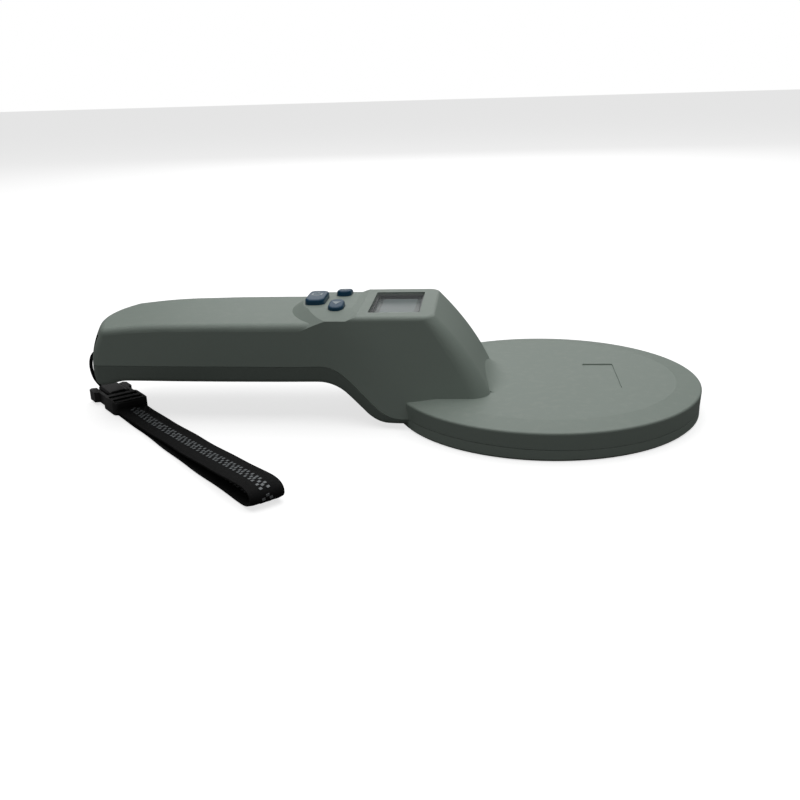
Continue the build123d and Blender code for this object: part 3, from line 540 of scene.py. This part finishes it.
class SCANNER_OT_webbing(bpy.types.Operator):
    """Weaves the folded webbing of the wrist loop with its reflective bars"""

    bl_idname = "scanner.webbing"
    bl_label = "Webbing"

    def execute(self, context):
        sizes = context.scene.scanner_strap
        route = webbing_line()
        line = bpy.data.curves.new("webbing_route", "CURVE")
        line.dimensions = "3D"
        line.resolution_u = 12
        spline = line.splines.new("NURBS")
        spline.points.add(len(route) - 1)
        for point, (along, height) in zip(spline.points, route):
            place = STRAP_START + STRAP_ALONG * along + Vector((0, 0, height))
            point.co = (*place, 1)
        spline.order_u = 3
        spline.use_endpoint_u = True
        guide = keep("webbing_route", line)
        graph = bpy.context.evaluated_depsgraph_get()
        track = bpy.data.meshes.new_from_object(guide.evaluated_get(graph))
        points = [v.co.copy() for v in track.vertices]
        bpy.data.objects.remove(guide)
        steps = [0.0]
        for a, b in zip(points, points[1:]):
            steps.append(steps[-1] + (b - a).length)
        count = int(steps[-1] / STRIP_STEP)
        rows = []
        index = 0
        for k in range(count + 1):
            reach = steps[-1] * k / count
            while index < len(steps) - 2 and steps[index + 1] < reach:
                index += 1
            share = (reach - steps[index]) / max(1e-9, steps[index + 1] - steps[index])
            here = points[index].lerp(points[index + 1], min(1, share))
            ahead = (points[index + 1] - points[index]).normalized()
            rows.append((reach, here, ahead))
        half, thick = sizes.width / 2, sizes.thickness / 2
        profile = []
        for k in range(9):
            profile.append((-half + sizes.width * k / 8, thick * (EDGE_THINNING if k in (0, 8) else 1.0)))
        for k in range(9):
            profile.append((half - sizes.width * k / 8, -thick * (EDGE_THINNING if k in (0, 8) else 1.0)))
        made = bmesh.new()
        uv = made.loops.layers.uv.new("strip")
        rings = []
        for reach, here, ahead in rows:
            up = ahead.cross(STRAP_ACROSS).normalized()
            wobble = 0.00025 * math.sin(reach * 61.0) + 0.00015 * math.sin(reach * 173.0 + 1.1)
            ring = []
            for across, height in profile:
                ring.append(made.verts.new(here + STRAP_ACROSS * (across + wobble) + up * height))
            rings.append(ring)
        total = len(profile)
        for k in range(len(rings) - 1):
            for j in range(total):
                after = (j + 1) % total
                corners = (rings[k][j], rings[k][after], rings[k + 1][after], rings[k + 1][j])
                face = made.faces.new(corners)
                for loop, (r, c) in zip(face.loops, ((k, j), (k, j + 1), (k + 1, j + 1), (k + 1, j))):
                    side = profile[c % total][0]
                    loop[uv].uv = (rows[r][0], side)
        made.faces.new(rings[0])
        made.faces.new(list(reversed(rings[-1])))
        bmesh.ops.recalc_face_normals(made, faces=made.faces[:])
        mesh = bpy.data.meshes.new("wrist_webbing")
        made.to_mesh(mesh)
        made.free()
        mesh.materials.append(woven("webbing_black", (0.0075, 0.0078, 0.0082)))
        strip = keep("wrist_webbing", mesh)
        smooth(strip, 60)
        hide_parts("strap_webbing")
        bars = self.bars(rows, sizes)
        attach(strip, "wrist_loop")
        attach(bars, "wrist_loop")
        return {"FINISHED"}

    def bars(self, rows, sizes):
        """Slanted reflective bars set along the strip by a Geometry Nodes tree."""
        mesh = bpy.data.meshes.new("reflective_bars")
        base = bmesh.new()
        offset = sizes.thickness / 2 + BAR_LIFT
        spacing = sizes.bar_pitch
        total = rows[-1][0]
        number = int((total - BARE_ENDS) / spacing)
        index = 0
        directions = []
        for k in range(number):
            reach = FIRST_BAR + k * spacing
            while index < len(rows) - 2 and rows[index + 1][0] < reach:
                index += 1
            here, ahead = rows[index][1], rows[index][2]
            up = ahead.cross(STRAP_ACROSS).normalized()
            for row in range(sizes.rows):
                across = (row - (sizes.rows - 1) / 2) * BAR_ROW_GAP
                shift = (row % 2) * spacing / 2
                for face_side in (1, -1):
                    base.verts.new(here + ahead * shift + STRAP_ACROSS * across + up * offset * face_side)
                    directions.append((up * face_side, ahead))
        base.to_mesh(mesh)
        base.free()
        facing = mesh.attributes.new("facing", "FLOAT_VECTOR", "POINT")
        running = mesh.attributes.new("running", "FLOAT_VECTOR", "POINT")
        for k, (up, ahead) in enumerate(directions):
            facing.data[k].vector = up
            running.data[k].vector = ahead
        piece = keep("reflective_bars", mesh)
        tree = bpy.data.node_groups.new("reflective_bar_rows", "GeometryNodeTree")
        socket(tree, "Points", "INPUT", "NodeSocketGeometry")
        length = socket(tree, "Bar length", "INPUT", "NodeSocketFloat", 0.0021)
        width = socket(tree, "Bar width", "INPUT", "NodeSocketFloat", 0.0011)
        socket(tree, "Bars", "OUTPUT", "NodeSocketGeometry")
        nodes, links = tree.nodes, tree.links
        start, end = nodes.new("NodeGroupInput"), nodes.new("NodeGroupOutput")
        size = nodes.new("ShaderNodeCombineXYZ")
        size.inputs["Z"].default_value = BAR_THICKNESS
        links.new(start.outputs["Bar width"], size.inputs["X"])
        links.new(start.outputs["Bar length"], size.inputs["Y"])
        bar = nodes.new("GeometryNodeMeshCube")
        links.new(size.outputs[0], bar.inputs["Size"])
        read_up = nodes.new("GeometryNodeInputNamedAttribute")
        read_up.data_type = "FLOAT_VECTOR"
        read_up.inputs["Name"].default_value = "facing"
        read_run = nodes.new("GeometryNodeInputNamedAttribute")
        read_run.data_type = "FLOAT_VECTOR"
        read_run.inputs["Name"].default_value = "running"
        turn = nodes.new("FunctionNodeAxesToRotation")
        turn.primary_axis = "Z"
        turn.secondary_axis = "X"
        links.new(read_up.outputs["Attribute"], turn.inputs["Primary Axis"])
        links.new(read_run.outputs["Attribute"], turn.inputs["Secondary Axis"])
        slant = nodes.new("FunctionNodeRotateRotation")
        slant.rotation_space = "LOCAL"
        slant.inputs["Rotate By"].default_value = (0, 0, math.radians(BAR_SLANT))
        links.new(turn.outputs[0], slant.inputs["Rotation"])
        spread = nodes.new("GeometryNodeInstanceOnPoints")
        links.new(start.outputs["Points"], spread.inputs["Points"])
        links.new(bar.outputs["Mesh"], spread.inputs["Instance"])
        links.new(slant.outputs[0], spread.inputs["Rotation"])
        real = nodes.new("GeometryNodeRealizeInstances")
        links.new(spread.outputs["Instances"], real.inputs["Geometry"])
        finish = nodes.new("GeometryNodeSetMaterial")
        finish.inputs["Material"].default_value = plastic(
            "reflective_thread", (0.20, 0.215, 0.225), 0.42, 0.5, 3000.0, 0.25, 0.0
        )
        links.new(real.outputs[0], finish.inputs["Geometry"])
        links.new(finish.outputs[0], end.inputs["Bars"])
        modifier = piece.modifiers.new("bars", "NODES")
        modifier.node_group = tree
        modifier[length.identifier] = BAR_LENGTH
        modifier[width.identifier] = BAR_WIDTH
        return baked(piece)


class SCANNER_OT_clip(bpy.types.Operator):
    """Finishes the two-part clip of the wrist loop"""

    bl_idname = "scanner.clip"
    bl_label = "Clip"

    def execute(self, context):
        black = plastic("clip_black", (0.012, 0.0125, 0.013), 0.40, 0.12, 1300.0, 0.15, 0.05, 0.0, 0.5)
        for node in ("buckle_socket", "buckle_plug"):
            dress(node, black)
        return {"FINISHED"}


class SCANNER_OT_cord(bpy.types.Operator):
    """Lays the thin cord from the pin in the grip's end to the clip"""

    bl_idname = "scanner.cord"
    bl_label = "Cord"

    def execute(self, context):
        along, across, height = CORD_END
        end = STRAP_START + STRAP_ALONG * along + STRAP_ACROSS * across + Vector((0, 0, height))
        route = [Vector(p) for p in CORD_ROUTE] + [end]
        line = bpy.data.curves.new("wrist_cord", "CURVE")
        line.dimensions = "3D"
        line.resolution_u = 16
        line.bevel_depth = CORD_RADIUS
        line.bevel_resolution = 4
        line.use_fill_caps = True
        spline = line.splines.new("NURBS")
        spline.points.add(len(route) - 1)
        for point, place in zip(spline.points, route):
            point.co = (*place, 1)
        spline.order_u = 3
        spline.use_endpoint_u = True
        black = plastic("cord_black", (0.010, 0.010, 0.011), 0.7, 0.6, 2600.0, 0.3, 0.02, 0.0, 0.3)
        line.materials.append(black)
        piece = keep("wrist_cord", line)
        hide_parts("strap_cord")
        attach(piece, "housing")
        return {"FINISHED"}


class SCANNER_OT_stage(bpy.types.Operator):
    """Sets up the pale floor, the soft light and the camera"""

    bl_idname = "scanner.stage"
    bl_label = "Stage"

    def execute(self, context):
        sizes = context.scene.scanner_stage
        scene = context.scene
        pitch, turn, roll = CAMERA_PITCH, CAMERA_TURN, CAMERA_ROLL
        flat = math.cos(pitch)
        ahead = Vector((-math.sin(turn) * flat, math.cos(turn) * flat, -math.sin(pitch)))
        right = Vector((math.cos(turn), math.sin(turn), 0))
        up = right.cross(ahead)
        level = right * math.cos(roll) + up * math.sin(roll)
        upright = up * math.cos(roll) - right * math.sin(roll)
        data = bpy.data.cameras.new("studio_camera")
        data.lens = sizes.lens
        data.sensor_width = 36.0
        data.clip_start = 0.01
        camera = bpy.data.objects.new("studio_camera", data)
        scene.collection.objects.link(camera)
        turned = Matrix((level, upright, -ahead)).transposed().to_4x4()
        camera.matrix_world = Matrix.Translation(CAMERA_PLACE) @ turned
        scene.camera = camera
        floor_mesh = bpy.data.meshes.new("studio_floor")
        made = bmesh.new()
        half, drop = 6, -0.0002
        places = ((-half, -half, drop), (half, -half, drop), (half, half, drop), (-half, half, drop))
        made.faces.new([made.verts.new(place) for place in places])
        made.to_mesh(floor_mesh)
        made.free()
        # Paler to the camera than to other rays, so that the floor is light and the housing's sides stay dark
        pale = plastic("floor_white", (0.93, 0.93, 0.93), 0.9, 0.0, 100.0, 0.0, 0.0, 0.0, 0.0)
        nodes, links = pale.node_tree.nodes, pale.node_tree.links
        ray = nodes.new("ShaderNodeLightPath")
        tone = nodes.new("ShaderNodeMixRGB")
        tone.inputs["Color1"].default_value = (0.17, 0.17, 0.17, 1)
        tone.inputs["Color2"].default_value = (0.60, 0.60, 0.60, 1)
        links.new(ray.outputs["Is Camera Ray"], tone.inputs["Fac"])
        links.new(tone.outputs[0], nodes["Principled BSDF"].inputs["Base Color"])
        nodes["Principled BSDF"].inputs["Emission Color"].default_value = (1, 1, 1, 1)
        lift = nodes.new("ShaderNodeMath")
        lift.operation = "MULTIPLY"
        lift.inputs[1].default_value = 0.72
        links.new(ray.outputs["Is Camera Ray"], lift.inputs[0])
        links.new(lift.outputs[0], nodes["Principled BSDF"].inputs["Emission Strength"])
        floor_mesh.materials.append(pale)
        floor = keep("studio_floor", floor_mesh)
        world = bpy.data.worlds.new("studio_world")
        scene.world = world
        world.use_nodes = True
        nodes, links = world.node_tree.nodes, world.node_tree.links
        nodes["Background"].inputs["Color"].default_value = (1, 1, 1, 1)
        ray = nodes.new("ShaderNodeLightPath")
        strength = nodes.new("ShaderNodeMapRange")
        strength.inputs["To Min"].default_value = 0.10
        strength.inputs["To Max"].default_value = 1.0
        links.new(ray.outputs["Is Camera Ray"], strength.inputs["Value"])
        links.new(strength.outputs["Result"], nodes["Background"].inputs["Strength"])
        for name, place, size, power in (
            ("overhead_box", (-0.05, 0.10, 1.1), 1.6, sizes.power),
            ("rear_box", (-0.1, 1.2, 0.7), 1.0, sizes.power * 0.25),
        ):
            light = bpy.data.lights.new(name, "AREA")
            light.energy = power
            light.size = size
            lamp = bpy.data.objects.new(name, light)
            scene.collection.objects.link(lamp)
            lamp.matrix_world = Matrix.Translation(place) @ (
                (Vector((-0.05, 0, 0.02)) - Vector(place)).to_track_quat("-Z", "Y").to_matrix().to_4x4()
            )
        scene.view_settings.view_transform = "Standard"
        return {"FINISHED"}


class SCANNER_PT_panel(bpy.types.Panel):
    """Lists the scanner's operators and sizes"""

    bl_idname = "SCANNER_PT_panel"
    bl_label = "Microchip scanner"
    bl_space_type = "VIEW_3D"
    bl_region_type = "UI"
    bl_category = "Scanner"

    def draw(self, context):
        for settings in ("scanner_shell", "scanner_keys", "scanner_strap", "scanner_stage"):
            group_of = getattr(context.scene, settings)
            for name in group_of.__annotations__:
                self.layout.prop(group_of, name)
        for operator in OPERATORS:
            self.layout.operator(operator.bl_idname)


SETTINGS = {
    "scanner_shell": ShellSettings,
    "scanner_keys": KeySettings,
    "scanner_strap": StrapSettings,
    "scanner_stage": StageSettings,
}
OPERATORS = (
    SCANNER_OT_stage, SCANNER_OT_cord, SCANNER_OT_webbing, SCANNER_OT_clip, SCANNER_OT_shells,
    SCANNER_OT_display, SCANNER_OT_keys, SCANNER_OT_inside,
)


def register():
    for made in (*SETTINGS.values(), *OPERATORS, SCANNER_PT_panel):
        bpy.utils.register_class(made)
    for name, made in SETTINGS.items():
        setattr(bpy.types.Scene, name, PointerProperty(type=made))


def unregister():
    for name in SETTINGS:
        delattr(bpy.types.Scene, name)
    for made in reversed((*SETTINGS.values(), *OPERATORS, SCANNER_PT_panel)):
        bpy.utils.unregister_class(made)


def main():
    register()
    bpy.ops.scanner.stage()
    bpy.ops.scanner.cord()
    bpy.ops.scanner.webbing()
    bpy.ops.scanner.clip()
    bpy.ops.scanner.shells()
    bpy.ops.scanner.display()
    bpy.ops.scanner.keys()
    bpy.ops.scanner.inside()


if __name__ == "__main__":
    main()
